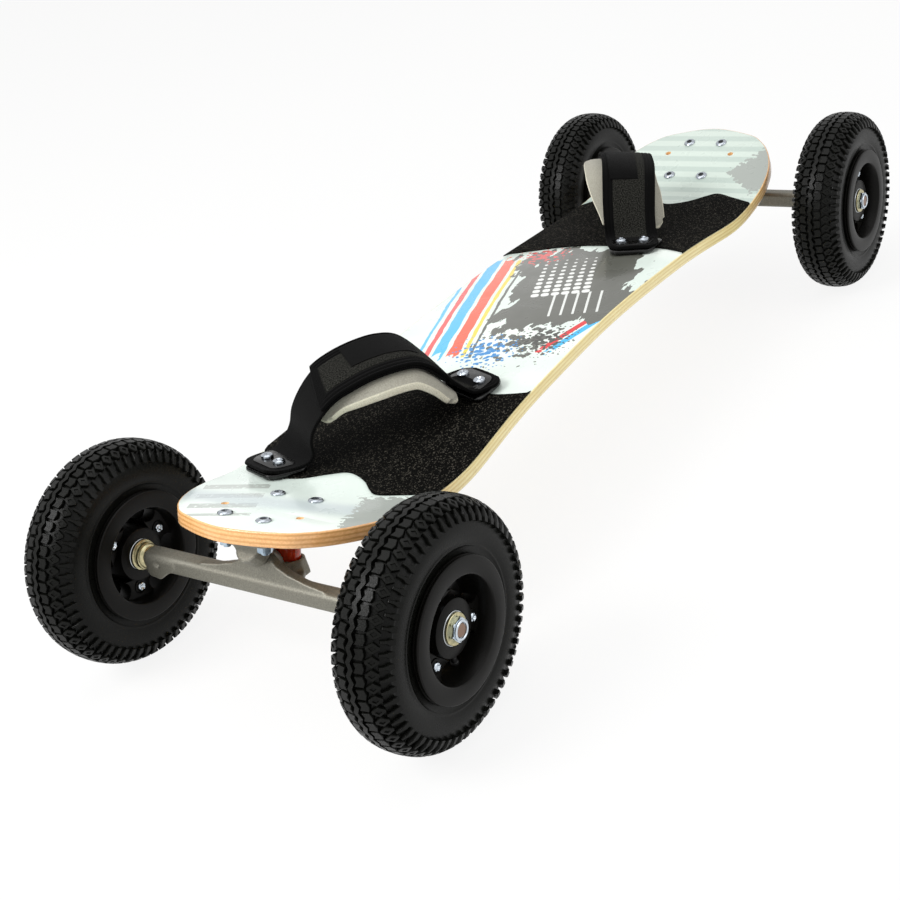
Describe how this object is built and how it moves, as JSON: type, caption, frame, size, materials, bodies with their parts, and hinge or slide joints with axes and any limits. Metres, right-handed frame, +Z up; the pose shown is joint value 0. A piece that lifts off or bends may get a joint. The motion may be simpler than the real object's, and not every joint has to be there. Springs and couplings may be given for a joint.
{
  "type": "mountainboard",
  "caption": "All-terrain board: a bent wooden deck with foot straps, on sprung skate trucks that steer as it leans, with air-filled knobbly wheels.",
  "frame": {"origin": "on the ground, under the middle of the deck", "axes": "+X along the deck towards the front tip, +Y across it towards its left side, +Z up"},
  "size_m": [1.0608, 0.3906, 0.22],
  "materials": {
    "maple": "laminated maple, painted pale silver on top, clear satin lacquer on edge and underside",
    "grip_tape": "coarse black grit sheet",
    "webbing": "black webbing with dark grey loop cloth",
    "foam": "pale grey foam pad",
    "anchor_plastic": "black moulded nylon",
    "casting": "sand-cast, tumbled, satin",
    "steel": "bright plated",
    "zinc_plated_steel": "yellow zinc plated",
    "bearing_steel": "polished race and shield",
    "urethane": "translucent red cast urethane",
    "rim_nylon": "glass-filled nylon, satin",
    "tyre_rubber": "matt black knobbly rubber",
    "tube_rubber": "smooth black butyl"
  },
  "bodies": {
    "board": {"deck": "maple", "grip_front": "grip_tape", "strap_front": "webbing", "strap_flap_front": "webbing", "pad_front": "foam", "anchor_tip_front": "anchor_plastic", "anchor_centre_front": "anchor_plastic", "baseplate_front": "casting", "kingpin_front": "steel", "bushing_upper_front": "urethane", "bushing_lower_front": "urethane", "pivot_cup_front": "urethane", "grip_rear": "grip_tape", "strap_rear": "webbing", "strap_flap_rear": "webbing", "pad_rear": "foam", "anchor_tip_rear": "anchor_plastic", "anchor_centre_rear": "anchor_plastic", "baseplate_rear": "casting", "kingpin_rear": "steel", "bushing_upper_rear": "urethane", "bushing_lower_rear": "urethane", "pivot_cup_rear": "urethane"},
    "truck_front": {"hanger_front": "casting", "axle_front": "steel", "axle_nut_front_left": "steel", "axle_spacer_front_left": "zinc_plated_steel", "axle_nut_front_right": "steel", "axle_spacer_front_right": "zinc_plated_steel"},
    "truck_rear": {"hanger_rear": "casting", "axle_rear": "steel", "axle_nut_rear_left": "steel", "axle_spacer_rear_left": "zinc_plated_steel", "axle_nut_rear_right": "steel", "axle_spacer_rear_right": "zinc_plated_steel"},
    "wheel_front_left": {"tyre_front_left": "tyre_rubber", "inner_tube_front_left": "tube_rubber", "rim_outer_front_left": "rim_nylon", "rim_inner_front_left": "rim_nylon", "bearing_outer_front_left": "bearing_steel", "bearing_inner_front_left": "bearing_steel"},
    "wheel_front_right": {"tyre_front_right": "tyre_rubber", "inner_tube_front_right": "tube_rubber", "rim_outer_front_right": "rim_nylon", "rim_inner_front_right": "rim_nylon", "bearing_outer_front_right": "bearing_steel", "bearing_inner_front_right": "bearing_steel"},
    "wheel_rear_left": {"tyre_rear_left": "tyre_rubber", "inner_tube_rear_left": "tube_rubber", "rim_outer_rear_left": "rim_nylon", "rim_inner_rear_left": "rim_nylon", "bearing_outer_rear_left": "bearing_steel", "bearing_inner_rear_left": "bearing_steel"},
    "wheel_rear_right": {"tyre_rear_right": "tyre_rubber", "inner_tube_rear_right": "tube_rubber", "rim_outer_rear_right": "rim_nylon", "rim_inner_rear_right": "rim_nylon", "bearing_outer_rear_right": "bearing_steel", "bearing_inner_rear_right": "bearing_steel"}
  },
  "joints": [
    {"name": "steer_front", "type": "hinge", "parent": "board", "child": "truck_front", "pos_m": [0.43166, 0, 0.1313], "axis": [0.6735, 0, 0.7392], "range_deg": [-15, 15], "stiffness_Nm_per_rad": 60, "deforming": ["bushing_upper_front", "bushing_lower_front"]},
    {"name": "roll_front_left", "type": "hinge", "parent": "truck_front", "child": "wheel_front_left", "pos_m": [0.4307, 0.1665, 0.09969], "axis": [0, 1, 0], "continuous": true},
    {"name": "roll_front_right", "type": "hinge", "parent": "truck_front", "child": "wheel_front_right", "pos_m": [0.4307, -0.1665, 0.09969], "axis": [0, 1, 0], "continuous": true},
    {"name": "steer_rear", "type": "hinge", "parent": "board", "child": "truck_rear", "pos_m": [-0.43166, 0, 0.1313], "axis": [-0.6735, 0, 0.7392], "range_deg": [-15, 15], "stiffness_Nm_per_rad": 60, "deforming": ["bushing_upper_rear", "bushing_lower_rear"]},
    {"name": "roll_rear_left", "type": "hinge", "parent": "truck_rear", "child": "wheel_rear_left", "pos_m": [-0.4307, 0.1665, 0.09969], "axis": [0, 1, 0], "continuous": true},
    {"name": "roll_rear_right", "type": "hinge", "parent": "truck_rear", "child": "wheel_rear_right", "pos_m": [-0.4307, -0.1665, 0.09969], "axis": [0, 1, 0], "continuous": true}
  ]
}
